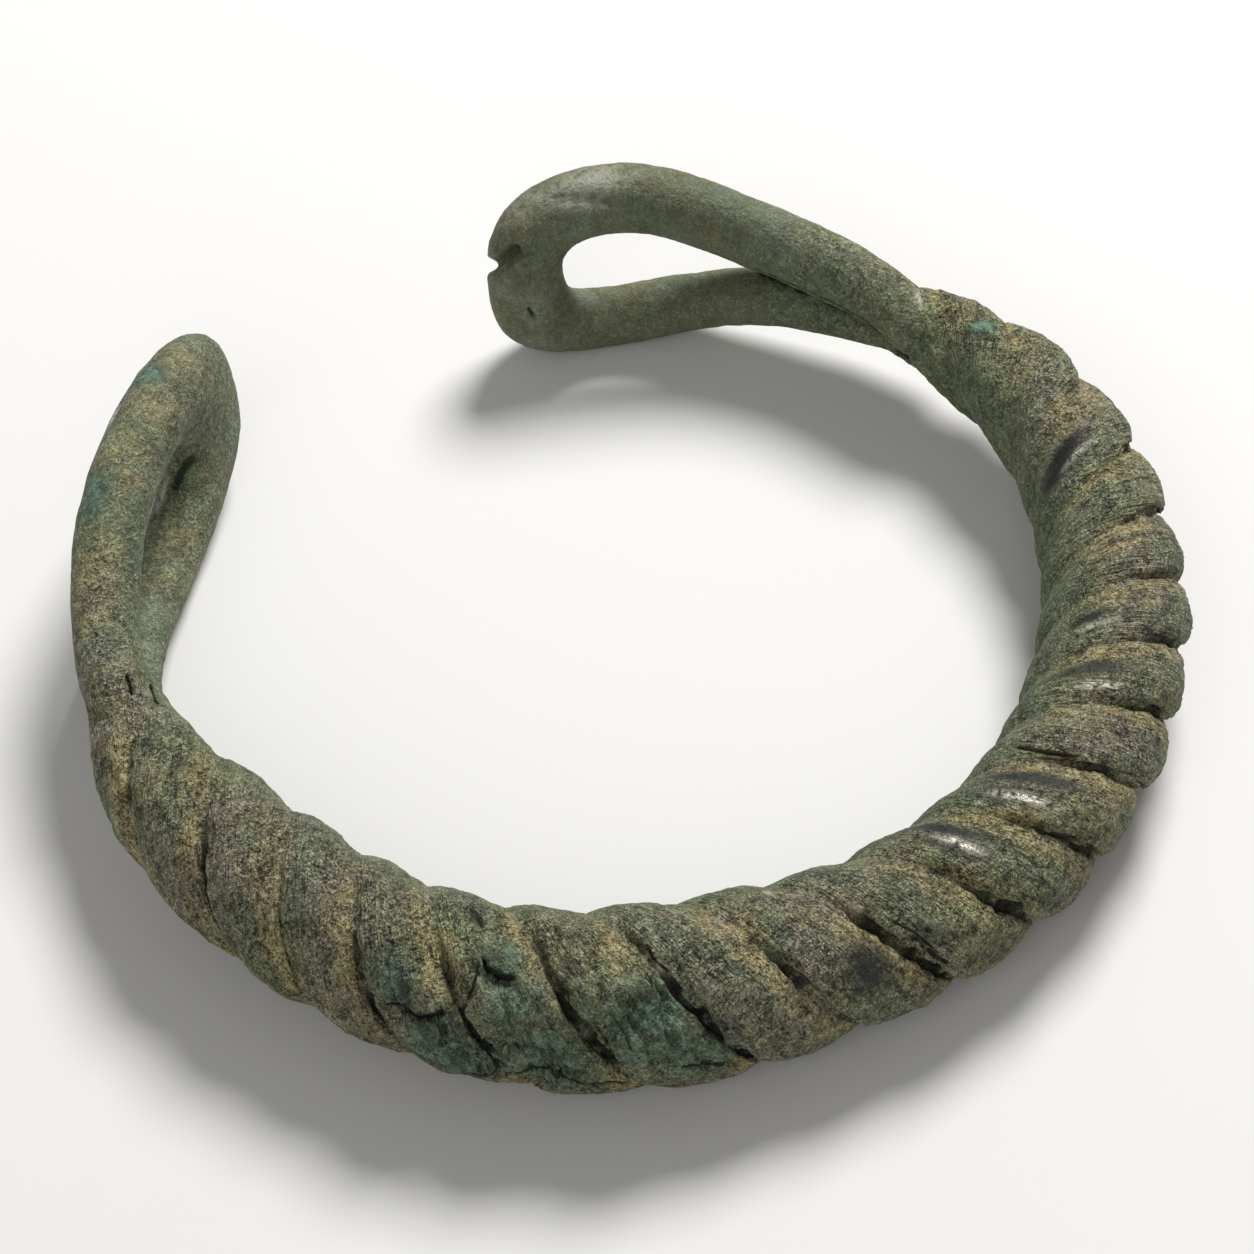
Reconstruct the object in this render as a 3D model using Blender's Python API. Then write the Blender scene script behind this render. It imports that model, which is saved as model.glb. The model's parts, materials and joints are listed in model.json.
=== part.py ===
"""Twisted bangle: an open bronze ring, lying on its side, with its opening towards +Y.

A rod is doubled back on itself, so that three strands are twisted together round the body, and a
hairpin loop is left at each end. Angles round the ring run from -Y, where the body is thickest,
positive towards +X. Angles in a cross-section run from outward, and 90 degrees is up.
"""

import math
from typing import NamedTuple

import bmesh
import bpy
import numpy as np
from mathutils import Vector

NAME = "twisted_bangle"

# The ring, in metres and degrees
RING_RADIUS = 0.0322
FRONT_HEIGHT = 0.0055
END_HEIGHT = 0.0068
LEFT_NECK = -107.0
RIGHT_NECK = 104.0

# The twisted body, in metres, with the girth at which its grooves reach their full depth
BODY_WIDTH = 0.0112
BODY_HEIGHT = 0.0114
TONGUE_WIDTH = 0.0016
TONGUE_HEIGHT = 0.0022
GROOVE_DEPTH = 0.0008
GROOVED_GIRTH = 0.65
STRANDS = 3

# The form of a ridge: below 1, steeper on its first side, and flatter on top
RIDGE_STEEPNESS = 0.85
RIDGE_FLATNESS = 0.6

# The rod where it runs on as the two loops, in metres and degrees
ROD_THICKNESS = 0.0044
UPPER_ROD_HEIGHT = 0.0049
LOWER_ROD_HEIGHT = 0.0039
NECK_SPREAD = 0.0039
NECK_RUN = 0.0140
LOOP_LEAN = 9.0
BEND_SQUARENESS = 0.75

# The loops, in metres: how far apart the strands' middles get, the length up to the bend, and how
# far the hole and the metal run on past that
LEFT_SPREAD = 0.0099
LEFT_STRAIGHT = 0.0145
LEFT_HOLE_END = 0.0060
LEFT_BEND = 0.0149
RIGHT_SPREAD = 0.0099
RIGHT_STRAIGHT = 0.0214
RIGHT_HOLE_END = 0.0034
RIGHT_BEND = 0.0088

# The roots of the rod, buried in the body, in metres
ROOT_LENGTH = 0.0055
ROOT_SPREAD = 0.0018
ROOT_THICKNESS = 0.0030

# The worn underside that it rests on, and the block that wears it, in metres
WEAR_DEPTH = 0.0002
BLOCK_SIZE = 4 * RING_RADIUS

# Fineness of the mesh, in degrees, points and metres
RING_STEP = 2.0
SHORT_STEP = 0.5
SHARP_ANGLE = 40.0
POINTS_PER_RIDGE = 8
PATH_STEP = 0.0014
BEND_STEPS = 14
ROD_SIDES = 12

# The stretch round the ring in which a loop's places are found, in degrees, and its points
OVERLAP_ANGLE = 15.0
LAST_ANGLE = 178.0
ANGLE_COUNT = 160

# Radius of the plan by angle, as a share of RING_RADIUS
PLAN = (
    (-170, 1.035),
    (-160, 0.992),
    (-150, 0.957),
    (-137, 0.947),
    (-122, 0.972),
    (LEFT_NECK, 1.001),
    (-70, 0.999),
    (-45, 1.021),
    (-15, 0.993),
    (20, 1.010),
    (60, 1.010),
    (84, 0.996),
    (RIGHT_NECK, 0.949),
    (125, 0.922),
    (140, 0.904),
    (153, 0.866),
    (165, 0.805),
)

# How far the body has grown from its pointed ends, 0, to its full girth, 1, by angle
GIRTH = (
    (LEFT_NECK - 7, 0.00),
    (LEFT_NECK, 0.33),
    (LEFT_NECK + 6, 0.47),
    (LEFT_NECK + 12, 0.64),
    (LEFT_NECK + 21, 0.80),
    (-65, 0.89),
    (-45, 0.97),
    (-30, 1.01),
    (-8, 0.91),
    (20, 0.88),
    (45, 0.86),
    (70, 0.74),
    (RIGHT_NECK - 14, 0.59),
    (RIGHT_NECK - 5, 0.45),
    (RIGHT_NECK + 1, 0.31),
    (RIGHT_NECK + 7, 0.00),
)

# Grooves passed on the outside of the ring, by angle
GROOVES = (
    (-112, -0.25),
    (-98, 0.30),
    (-84, 1.22),
    (-70, 2.47),
    (-56, 3.95),
    (-42, 5.30),
    (-14, 7.85),
    (14, 10.45),
    (42, 13.50),
    (70, 16.65),
    (84, 17.90),
    (98, 19.00),
    (112, 20.20),
)

PATINA = (0.16, 0.17, 0.11, 1.0)
UP = np.array((0.0, 0.0, 1.0))


class Loop(NamedTuple):
    """One hairpin end of the bangle.

    neck and neck_turn are angles in degrees, side is the way it runs round the ring, and late is
    higher where the strands part further out. The rest are its sizes, in metres.
    """

    name: str
    side: int
    neck: float
    neck_turn: float
    late: float
    spread: float
    straight: float
    hole_end: float
    bend: float


LEFT_SIZES = (LEFT_SPREAD, LEFT_STRAIGHT, LEFT_HOLE_END, LEFT_BEND)
RIGHT_SIZES = (RIGHT_SPREAD, RIGHT_STRAIGHT, RIGHT_HOLE_END, RIGHT_BEND)
LOOPS = (
    Loop("left_loop", -1, LEFT_NECK, 6.0, 1.0, *LEFT_SIZES),
    Loop("right_loop", 1, RIGHT_NECK, -41.0, 2.4, *RIGHT_SIZES),
)


def smooth(points, where):
    """The smooth curve through the (place, value) points, read at one place or at many."""
    place, value = np.array(points, float).T
    slope = np.gradient(value, place)
    cell = np.clip(np.searchsorted(place, where) - 1, 0, len(place) - 2)
    span = place[cell + 1] - place[cell]
    t = (where - place[cell]) / span
    start = value[cell] * (1 + 2 * t) + slope[cell] * span * t
    end = value[cell + 1] * (3 - 2 * t) - slope[cell + 1] * span * (1 - t)
    return start * (1 - t) ** 2 + end * t**2


def ease(t):
    """Rises from 0 to 1 with a level start and end."""
    t = min(max(t, 0.0), 1.0)
    return t * t * (3 - 2 * t)


def squared(share):
    """Bows a sine or cosine outwards, so that a round bend becomes a squarer one."""
    return math.copysign(abs(share) ** BEND_SQUARENESS, share)


def centre(angle):
    """The middle of the body or of a loop's band at an angle round the ring."""
    radius = RING_RADIUS * smooth(PLAN, angle)
    turn = math.radians(angle)
    rise = ease(angle / (RIGHT_NECK if angle > 0 else LEFT_NECK))
    height = FRONT_HEIGHT + (END_HEIGHT - FRONT_HEIGHT) * rise
    return np.array((radius * math.sin(turn), -radius * math.cos(turn), height))


def outward(angle):
    """The level direction out of the ring, square to the plan."""
    ahead = centre(angle + SHORT_STEP) - centre(angle - SHORT_STEP)
    direction = np.array((ahead[1], -ahead[0], 0.0))
    return direction / np.linalg.norm(direction)


def ridge(across):
    """The height of a ridge, 0 to 1, by the share of the way across it: steep first, then rounded."""
    return math.sin(math.pi * across**RIDGE_STEEPNESS) ** RIDGE_FLATNESS


def body_section(angle):
    """The ring of points round the body at an angle, which turns with the strands."""
    girth = smooth(GIRTH, angle)
    half_width = (TONGUE_WIDTH + (BODY_WIDTH - TONGUE_WIDTH) * girth) / 2
    half_height = (TONGUE_HEIGHT + (BODY_HEIGHT - TONGUE_HEIGHT) * girth) / 2
    groove = GROOVE_DEPTH * ease(girth / GROOVED_GIRTH)
    middle = centre(angle)
    out = outward(angle)
    points = []
    for step in range(STRANDS * POINTS_PER_RIDGE):
        ridges = step / POINTS_PER_RIDGE
        turn = 2 * math.pi * (ridges - smooth(GROOVES, angle)) / STRANDS
        sink = groove * (1 - ridge(ridges % 1.0))
        across = (half_width - sink) * math.cos(turn)
        rise = (half_height - sink) * math.sin(turn)
        points.append(middle + across * out + rise * UP)
    return points


def loft(name, sections):
    """A closed solid through rings of points, with a flat cap at each end."""
    mesh = bmesh.new()
    rings = [[mesh.verts.new(point) for point in section] for section in sections]
    count = len(rings[0])
    for near, far in zip(rings, rings[1:]):
        for i in range(count):
            j = (i + 1) % count
            mesh.faces.new((near[i], near[j], far[j], far[i]))
    mesh.faces.new(rings[0][::-1])
    mesh.faces.new(rings[-1])
    bmesh.ops.recalc_face_normals(mesh, faces=mesh.faces)
    data = bpy.data.meshes.new(name)
    mesh.to_mesh(data)
    mesh.free()
    return bpy.data.objects.new(name, data)


def angles_out(loop):
    """Angles from inside the body to past the loop's end, and how far each is from the neck."""
    first = loop.neck - loop.side * OVERLAP_ANGLE
    angles = np.linspace(first, loop.side * LAST_ANGLE, ANGLE_COUNT)
    points = np.array([centre(angle) for angle in angles])
    steps = np.linalg.norm(np.diff(points, axis=0), axis=1)
    along = np.concatenate(((0.0,), np.cumsum(steps)))
    at_neck = np.interp(abs(loop.neck), np.abs(angles), along)
    return angles, along - at_neck


def band_frame(loop, along):
    """A point on the middle of a loop's band, the way it runs there and the way up the band."""
    angles, distances = angles_out(loop)
    angle = float(np.interp(along, distances, angles))
    turn_left = max(0.0, 1 - along / NECK_RUN)
    lean = math.radians(LOOP_LEAN + loop.neck_turn * turn_left**2)
    out = outward(angle)
    run = loop.side * np.cross(UP, out)
    return centre(angle), run, math.sin(lean) * out + math.cos(lean) * UP


def strand_edges(loop, place, rod_height):
    """The rod's near and far edge above the band's middle, and its thickness, before the bend."""
    root = ease((place + ROOT_LENGTH) / ROOT_LENGTH)
    opened = ease(place / loop.straight) ** loop.late
    neck = ROOT_SPREAD + (NECK_SPREAD - ROOT_SPREAD) * root
    middle = (neck + (loop.spread - neck) * opened) / 2
    thick = ROOT_THICKNESS + (ROD_THICKNESS - ROOT_THICKNESS) * root
    half = rod_height / 2 * thick / ROD_THICKNESS
    return middle - half, middle + half, thick


def loop_outline(loop):
    """Pairs of points on the hole's edge and the outer edge of a loop, with the thickness between.

    A point is (distance from the neck, height above the band's middle). They run out along the
    upper strand, round the bend and back along the lower one.
    """
    places = np.linspace(-ROOT_LENGTH, loop.straight, round((loop.straight + ROOT_LENGTH) / PATH_STEP))
    strands = {}
    for side, rod_height in ((1, UPPER_ROD_HEIGHT), (-1, LOWER_ROD_HEIGHT)):
        strands[side] = []
        for place in places:
            near, far, thick = strand_edges(loop, place, rod_height)
            strands[side].append(((place, side * near), (place, side * far), thick))
    bend = []
    for turn in np.linspace(0, math.pi, BEND_STEPS + 1)[1:-1]:
        rod_height = UPPER_ROD_HEIGHT if math.cos(turn) > 0 else LOWER_ROD_HEIGHT
        near, far, thick = strand_edges(loop, loop.straight, rod_height)
        out, up = squared(math.sin(turn)), squared(math.cos(turn))
        hole_edge = (loop.straight + loop.hole_end * out, near * up)
        outer_edge = (loop.straight + loop.bend * out, far * up)
        bend.append((hole_edge, outer_edge, thick))
    return strands[1] + bend + strands[-1][::-1]


def loop_sections(loop):
    """The rings of points round the rod, from its upper root round the bend to its lower root."""
    sections = []
    for near, far, thick in loop_outline(loop):
        place, height = (near[0] + far[0]) / 2, (near[1] + far[1]) / 2
        along, up = (far[0] - near[0]) / 2, (far[1] - near[1]) / 2
        middle, run, rise = band_frame(loop, place)
        across = along * run + up * rise
        through = thick / 2 * np.cross(run, rise)
        points = []
        for side in range(ROD_SIDES):
            turn = 2 * math.pi * side / ROD_SIDES
            points.append(middle + height * rise + math.cos(turn) * across + math.sin(turn) * through)
        sections.append(points)
    return sections


def ground_block(collection):
    """The block below the floor level, which wears the underside flat."""
    place = (0.0, 0.0, WEAR_DEPTH - BLOCK_SIZE / 2)
    bpy.ops.mesh.primitive_cube_add(size=BLOCK_SIZE, location=place)
    block = bpy.context.object
    block.name = "ground_block"
    for other in block.users_collection:
        other.objects.unlink(block)
    collection.objects.link(block)
    return block


def join(target, other, operation):
    """Adds a Boolean that joins or cuts another object, which stays as a hidden helper."""
    modifier = target.modifiers.new(other.name, "BOOLEAN")
    modifier.operation = operation
    modifier.solver = "EXACT"
    modifier.use_self = True
    modifier.object = other
    other.hide_render = True
    other.display_type = "WIRE"


def bronze():
    """Corroded bronze: dull olive green."""
    material = bpy.data.materials.new("bronze_patina")
    material.use_nodes = True
    shader = material.node_tree.nodes["Principled BSDF"]
    shader.inputs["Base Color"].default_value = PATINA
    shader.inputs["Roughness"].default_value = 0.7
    shader.inputs["Metallic"].default_value = 0.3
    return material


def settle(obj):
    """Moves the finished mesh so that the middle of its underside's box is at the origin."""
    evaluated = obj.evaluated_get(bpy.context.evaluated_depsgraph_get())
    data = bpy.data.meshes.new_from_object(evaluated)
    corners = np.array([vertex.co for vertex in data.vertices])
    low, high = corners.min(axis=0), corners.max(axis=0)
    middle = Vector(((low[0] + high[0]) / 2, (low[1] + high[1]) / 2, low[2]))
    for vertex in data.vertices:
        vertex.co -= middle
    data.name = obj.name
    obj.modifiers.clear()
    obj.data = data


def main():
    for obj in list(bpy.data.objects):
        bpy.data.objects.remove(obj)
    parts = bpy.data.collections.new(NAME)
    helpers = bpy.data.collections.new("helpers")
    helpers.hide_render = True
    for collection in (parts, helpers):
        bpy.context.scene.collection.children.link(collection)
    first, last = GIRTH[0][0], GIRTH[-1][0]
    angles = np.linspace(first, last, round((last - first) / RING_STEP) + 1)
    bangle = loft(NAME, [body_section(angle) for angle in angles])
    parts.objects.link(bangle)
    for loop in LOOPS:
        rod = loft(loop.name, loop_sections(loop))
        helpers.objects.link(rod)
        join(bangle, rod, "UNION")
    join(bangle, ground_block(helpers), "DIFFERENCE")
    bpy.context.view_layer.update()
    settle(bangle)
    bangle.data.materials.clear()
    bangle.data.materials.append(bronze())
    bangle.data.shade_smooth()
    bangle.data.set_sharp_from_angle(angle=math.radians(SHARP_ANGLE))


main()
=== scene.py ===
"""The looks of the twisted bangle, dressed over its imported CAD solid.

The bangle lies on its side with its opening towards +Y. Shapes are worked out in metres round the
middle of the ring, and moved to the CAD's place at the end. Angles round the ring run from -Y, where
the body is thickest, positive towards +X. Angles in a cross-section run from outward, and a quarter
turn is up. Places named by photo pixels are cast from the camera onto the finished shape.
"""

from __future__ import annotations

import json
import logging
import math
from dataclasses import dataclass, field
from enum import Enum
from typing import NamedTuple

import bmesh
import bpy
import numpy as np
from mathutils import Matrix, Vector, noise
from mathutils.bvhtree import BVHTree

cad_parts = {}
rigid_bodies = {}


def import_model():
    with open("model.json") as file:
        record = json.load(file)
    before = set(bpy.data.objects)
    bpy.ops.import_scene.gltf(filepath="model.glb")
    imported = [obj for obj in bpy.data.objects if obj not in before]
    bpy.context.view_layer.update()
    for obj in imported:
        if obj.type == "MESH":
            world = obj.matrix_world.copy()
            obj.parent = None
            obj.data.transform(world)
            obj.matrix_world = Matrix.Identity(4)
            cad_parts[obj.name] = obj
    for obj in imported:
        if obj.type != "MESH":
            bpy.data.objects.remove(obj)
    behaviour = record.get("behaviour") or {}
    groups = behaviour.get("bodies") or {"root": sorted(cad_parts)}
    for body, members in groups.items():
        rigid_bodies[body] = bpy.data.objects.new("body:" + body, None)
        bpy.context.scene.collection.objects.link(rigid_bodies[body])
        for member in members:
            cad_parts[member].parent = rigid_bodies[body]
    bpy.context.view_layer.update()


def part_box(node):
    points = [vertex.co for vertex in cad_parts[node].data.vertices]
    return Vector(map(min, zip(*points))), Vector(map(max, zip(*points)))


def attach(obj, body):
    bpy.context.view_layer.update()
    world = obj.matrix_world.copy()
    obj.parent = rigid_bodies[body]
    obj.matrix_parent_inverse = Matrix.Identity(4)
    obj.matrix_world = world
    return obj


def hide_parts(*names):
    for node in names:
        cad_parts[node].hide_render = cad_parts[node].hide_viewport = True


NODE = "twisted_bangle"
MM = 0.001
NOISE_SEED = 1
UP = np.array((0.0, 0.0, 1.0))

log = logging.getLogger("bangle")


def clear_scene() -> None:
    """Removes everything that the new file starts with."""
    for obj in list(bpy.data.objects):
        bpy.data.objects.remove(obj)


def smooth(points: np.ndarray, where: np.ndarray) -> np.ndarray:
    """Reads the smooth curve through a table of (place, value) points.

    Args:
        points: the table, one row for each point.
        where: the places to read it at.

    Returns:
        The values there.
    """
    place, value = np.asarray(points, float).T
    slope = np.gradient(value, place)
    cell = np.clip(np.searchsorted(place, where) - 1, 0, len(place) - 2)
    span = place[cell + 1] - place[cell]
    t = (where - place[cell]) / span
    start = value[cell] * (1 + 2 * t) + slope[cell] * span * t
    end = value[cell + 1] * (3 - 2 * t) - slope[cell + 1] * span * (1 - t)
    return start * (1 - t) ** 2 + end * t**2


def ease(t: np.ndarray) -> np.ndarray:
    """Rises from 0 to 1 with a level start and end."""
    t = np.clip(t, 0.0, 1.0)
    return t * t * (3 - 2 * t)


def unit(vectors: np.ndarray) -> np.ndarray:
    """The same directions at length 1."""
    return vectors / np.maximum(np.linalg.norm(vectors, axis=-1, keepdims=True), 1e-12)


@dataclass
class Ring:
    """The bangle's plan: the line that the body and both loops follow."""

    radius: float = 0.0322
    front_height: float = 0.0055
    end_height: float = 0.0068
    left_neck: float = -107.0
    right_neck: float = 104.0
    short_step: float = 0.5
    plan: tuple = (
        (-170, 1.035), (-160, 0.992), (-150, 0.957), (-137, 0.947), (-122, 0.972), (-107, 1.001),
        (-70, 0.999), (-45, 1.021), (-15, 0.993), (20, 1.010), (60, 1.010), (84, 0.996),
        (104, 0.949), (125, 0.922), (140, 0.904), (153, 0.866), (165, 0.805),
    )

    def centre(self, angles: np.ndarray) -> np.ndarray:
        """The middle of the metal at each angle.

        Args:
            angles: degrees round the ring.

        Returns:
            One point for each angle.
        """
        angles = np.asarray(angles, float)
        radius = self.radius * smooth(self.plan, angles)
        turn = np.radians(angles)
        rise = ease(angles / np.where(angles > 0, self.right_neck, self.left_neck))
        height = self.front_height + (self.end_height - self.front_height) * rise
        return np.stack((radius * np.sin(turn), -radius * np.cos(turn), height), axis=-1)

    def outward(self, angles: np.ndarray) -> np.ndarray:
        """The level direction out of the ring at each angle."""
        angles = np.asarray(angles, float)
        ahead = self.centre(angles + self.short_step) - self.centre(angles - self.short_step)
        return unit(np.stack((ahead[..., 1], -ahead[..., 0], np.zeros(ahead.shape[:-1])), axis=-1))

    def angle_of(self, points: np.ndarray) -> np.ndarray:
        """The angle whose cross-section each point lies in.

        Args:
            points: points near the bangle.

        Returns:
            Degrees round the ring.
        """
        angles = np.degrees(np.arctan2(points[:, 0], -points[:, 1]))
        for _ in range(4):
            run = np.cross(UP, self.outward(angles))
            off = np.einsum("ij,ij->i", points - self.centre(angles), run)
            angles = np.clip(angles + np.degrees(off / self.radius), -178, 178)
        return angles


class Guide(NamedTuple):
    """What a sweep follows: one row for each cross-section."""

    points: np.ndarray
    across: np.ndarray
    through: np.ndarray
    groove: np.ndarray
    passed: np.ndarray


def points_of(data: bpy.types.Mesh) -> np.ndarray:
    """The places of a mesh's points."""
    flat = np.empty(len(data.vertices) * 3)
    data.vertices.foreach_get("co", flat)
    return flat.reshape(-1, 3)


def move_points(data: bpy.types.Mesh, points: np.ndarray) -> None:
    """Puts a mesh's points in new places."""
    data.vertices.foreach_set("co", points.astype(np.float32).ravel())
    data.update()


def note(data: bpy.types.Mesh, name: str, values: np.ndarray) -> None:
    """Keeps a number or a vector on each point of a mesh, under a name."""
    kind, key = ("FLOAT", "value") if values.ndim == 1 else ("FLOAT_VECTOR", "vector")
    attribute = data.attributes.new(name, kind, "POINT")
    attribute.data.foreach_set(key, values.astype(np.float32).ravel())


@dataclass(frozen=True)
class Signal:
    """A node's output, whose arithmetic adds Math nodes to the tree that it is in."""

    socket: bpy.types.NodeSocket

    def __add__(self, other: object) -> Signal:
        """Adds."""
        return calculate("ADD", self, other)

    def __sub__(self, other: object) -> Signal:
        """Takes away."""
        return calculate("SUBTRACT", self, other)

    def __rsub__(self, other: object) -> Signal:
        """Takes this away from a number."""
        return calculate("SUBTRACT", other, self)

    def __mul__(self, other: object) -> Signal:
        """Multiplies."""
        return calculate("MULTIPLY", self, other)

    def __truediv__(self, other: object) -> Signal:
        """Divides."""
        return calculate("DIVIDE", self, other)


def feed(socket: bpy.types.NodeSocket, value: object) -> None:
    """Links a node's input to a signal, or sets it to a value or a tone, or leaves it at None."""
    if isinstance(value, Signal):
        socket.id_data.links.new(value.socket, socket)
    elif value is not None:
        socket.default_value = value.rgba() if isinstance(value, Tone) else value


def calculate(operation: str, *values: object, clamp: bool = False) -> Signal:
    """One step of arithmetic.

    Args:
        operation: the Math node's operation.
        values: what it works on, numbers and at least one signal.
        clamp: whether the result is kept from 0 to 1.

    Returns:
        The result.
    """
    tree = next(value.socket.id_data for value in values if isinstance(value, Signal))
    node = tree.nodes.new("ShaderNodeMath")
    node.operation = operation
    node.use_clamp = clamp
    for socket, value in zip(node.inputs, values):
        feed(socket, value)
    return Signal(node.outputs[0])


class Nodes:
    """A node tree that is being built."""

    def __init__(self, tree: bpy.types.NodeTree) -> None:
        """Takes the tree to build in."""
        self.tree = tree

    def add(self, kind: str, *values: object, **settings: object) -> bpy.types.Node:
        """Adds a node.

        Args:
            kind: the node's type.
            values: for each input in order, a value or the signal that feeds it, or None.
            settings: the node's own settings.

        Returns:
            The new node.
        """
        node = self.tree.nodes.new(kind)
        for name, setting in settings.items():
            setattr(node, name, setting)
        for socket, value in zip(node.inputs, values):
            feed(socket, value)
        return node

    def out(self, kind: str, *values: object, **settings: object) -> Signal:
        """Adds a node, and gives its first output."""
        return Signal(self.add(kind, *values, **settings).outputs[0])

    def summed(self, vector: Signal, other: Signal) -> Signal:
        """Two vectors added."""
        return self.out("ShaderNodeVectorMath", vector, other, operation="ADD")

    def scaled(self, vector: Signal, share: object) -> Signal:
        """A vector or a colour times a number."""
        node = self.add("ShaderNodeVectorMath", vector, operation="SCALE")
        feed(node.inputs["Scale"], share)
        return Signal(node.outputs[0])


class SweepTree(Nodes):
    """The Geometry Nodes tree that sweeps a ridged cross-section along a guide.

    Each point of the guide carries the two half axes of its section, the depth of its grooves and
    how many grooves have passed the outside of the ring by then.
    """

    INPUTS = {
        "Guide": "Geometry",
        "Columns": "Int",
        "Strands": "Int",
        "Crowding": "Float",
        "Ridge Steepness": "Float",
        "Ridge Flatness": "Float",
        "Soft Flatness": "Float",
        "Crack Tilt": "Float",
        "Inside Calm": "Float",
        "Material": "Material",
    }
    MERGE_DISTANCE = 1e-6

    def __init__(self) -> None:
        """Builds the tree with named inputs for its sizes."""
        super().__init__(bpy.data.node_groups.new("strand_sweep", "GeometryNodeTree"))
        face = self.tree.interface
        for name, kind in self.INPUTS.items():
            face.new_socket(name, in_out="INPUT", socket_type="NodeSocket" + kind)
        face.new_socket("Geometry", in_out="OUTPUT", socket_type="NodeSocketGeometry")
        sockets = self.add("NodeGroupInput").outputs
        self.given = {name: Signal(sockets[name]) for name in self.INPUTS}
        self._build()

    def _read(self, name: str, kind: str, station: Signal) -> Signal:
        """Reads an attribute of the guide at a station.

        Args:
            name: the attribute, or an empty name for the point's own place.
            kind: its data type.
            station: the row of the guide.

        Returns:
            What it says there.
        """
        if name:
            source = self.out("GeometryNodeInputNamedAttribute", name, data_type=kind)
        else:
            source = self.out("GeometryNodeInputPosition")
        sample = self.add("GeometryNodeSampleIndex", data_type=kind, domain="POINT")
        feed(sample.inputs["Geometry"], self.given["Guide"])
        feed(sample.inputs["Value"], source)
        feed(sample.inputs["Index"], station)
        return Signal(sample.outputs[0])

    def _arch(self, crowded: Signal, turn: Signal) -> Signal:
        """How high a ridge stands, 0 to 1: full outside the ring, and soft on its inside."""
        bent = calculate("POWER", crowded, self.given["Ridge Steepness"]) * math.pi
        arch = calculate("MAXIMUM", calculate("SINE", bent), 0.0)
        sharp = calculate("POWER", arch, self.given["Ridge Flatness"])
        soft = calculate("POWER", arch, self.given["Soft Flatness"])
        facing = calculate("COSINE", turn + self.given["Crack Tilt"]) * 0.6
        facing = calculate("ADD", facing, 0.4, clamp=True)
        return sharp * facing + soft * (1.0 - facing)

    def _build(self) -> None:
        """Wires the sweep."""
        columns, strands, calm = (self.given[key] for key in ("Columns", "Strands", "Inside Calm"))
        size = self.add("GeometryNodeAttributeDomainSize", self.given["Guide"], component="MESH")
        rows = columns + 1.0
        grid = self.add("GeometryNodeMeshGrid")
        feed(grid.inputs["Vertices X"], Signal(size.outputs["Point Count"]))
        feed(grid.inputs["Vertices Y"], rows)
        index = self.out("GeometryNodeInputIndex")
        station = calculate("FLOOR", (index + 0.5) / rows)
        ridges = (index - station * rows) / columns * strands
        within = calculate("FRACT", ridges)
        swing = calculate("SINE", within * math.tau)
        crowded = within - swing * self.given["Crowding"] * (1 / math.tau)
        phase = calculate("FLOOR", ridges) + crowded
        turn = (phase - self._read("passed", "FLOAT", station)) / strands * math.tau
        valley = 1.0 - self._arch(crowded, turn)
        valley = valley * (calculate("COSINE", turn) * calm + 1.0 - calm)
        sink = valley * self._read("groove", "FLOAT", station)
        place = self._read("", "FLOAT_VECTOR", station)
        for name, trig in (("across", "COSINE"), ("through", "SINE")):
            axis = self._read(name, "FLOAT_VECTOR", station)
            length = self.add("ShaderNodeVectorMath", axis, operation="LENGTH").outputs["Value"]
            left = 1.0 - sink / calculate("MAXIMUM", Signal(length), self.MERGE_DISTANCE)
            place = self.summed(place, self.scaled(axis, left * calculate(trig, turn)))
        moved = self.add("GeometryNodeSetPosition", Signal(grid.outputs["Mesh"]))
        feed(moved.inputs["Position"], place)
        closed = self.add("GeometryNodeMergeByDistance", Signal(moved.outputs[0]))
        closed.inputs["Distance"].default_value = self.MERGE_DISTANCE
        real = self.out("GeometryNodeRealizeInstances", Signal(closed.outputs[0]))
        dressed = self.add("GeometryNodeSetMaterial", real)
        feed(dressed.inputs["Material"], self.given["Material"])
        self.add("NodeGroupOutput", Signal(dressed.outputs[0]))

    def sweep(self, name: str, guide: Guide, sizes: dict[str, object]) -> bpy.types.Object:
        """Sweeps one closed piece.

        Args:
            name: what the piece is called.
            guide: the cross-sections, of which the first and last have no size.
            sizes: the tree's inputs by name.

        Returns:
            The piece, as a plain mesh with its faces outwards.
        """
        data = bpy.data.meshes.new(name)
        data.from_pydata([tuple(point) for point in guide.points], [], [])
        for key in ("across", "through", "groove", "passed"):
            note(data, key, getattr(guide, key))
        obj = bpy.data.objects.new(name, data)
        bpy.context.scene.collection.objects.link(obj)
        modifier = obj.modifiers.new("sweep", "NODES")
        modifier.node_group = self.tree
        for item in self.tree.interface.items_tree:
            if item.in_out == "INPUT" and item.name in sizes:
                modifier[item.identifier] = sizes[item.name]
        plain(obj)
        return obj


def plain(obj: bpy.types.Object) -> None:
    """Turns what an object's modifiers make into its own mesh, with its faces outwards.

    Args:
        obj: the object, which keeps its name.
    """
    evaluated = obj.evaluated_get(bpy.context.evaluated_depsgraph_get())
    data = bpy.data.meshes.new_from_object(evaluated)
    obj.modifiers.clear()
    old = obj.data
    obj.data = data
    bpy.data.meshes.remove(old)
    data.name = obj.name
    shape = bmesh.new()
    shape.from_mesh(data)
    bmesh.ops.recalc_face_normals(shape, faces=shape.faces)
    shape.to_mesh(data)
    shape.free()


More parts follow.
